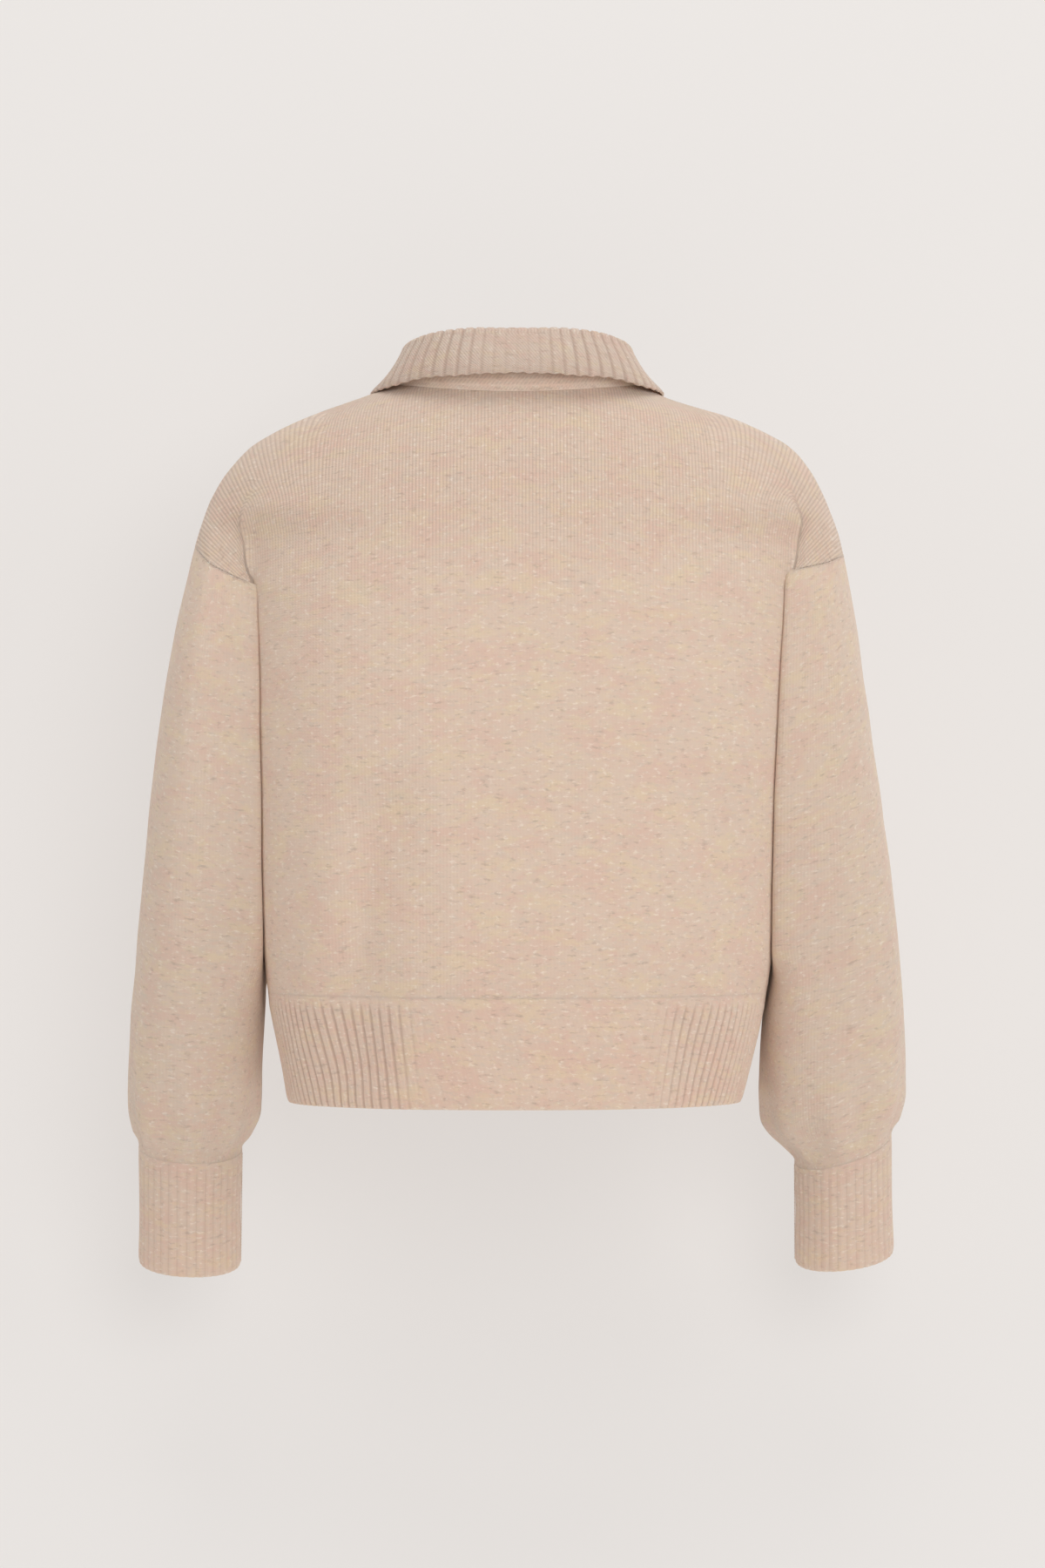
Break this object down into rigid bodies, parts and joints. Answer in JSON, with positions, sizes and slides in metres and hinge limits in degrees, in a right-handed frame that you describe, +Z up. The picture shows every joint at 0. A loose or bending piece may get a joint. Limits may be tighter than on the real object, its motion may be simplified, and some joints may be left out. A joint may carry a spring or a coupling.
{
  "type": "polo sweater",
  "caption": "Long-sleeved knitted polo sweater with a folded ribbed collar, open V neck, dropped shoulders, and deep ribbed hem and cuffs, filled out as if worn.",
  "frame": {"origin": "middle of the neck hole, 5 mm below the inner ends of the shoulders, where the wearer's shoulders hold the sweater", "axes": "+Z up along the wearer's body, +Y towards the wearer's back, +X towards the wearer's left"},
  "size_m": [0.5884, 0.2656, 0.7068],
  "materials": {
    "jersey": "fine heathered plain knit",
    "rib": "heathered rib knit"
  },
  "bodies": {
    "root": {"back_panel": "jersey", "front_panel": "jersey", "back_hem_rib": "rib", "front_hem_rib": "rib", "left_sleeve": "jersey", "right_sleeve": "jersey", "left_cuff": "rib", "right_cuff": "rib", "neckband": "rib", "collar": "rib"}
  },
  "joints": []
}
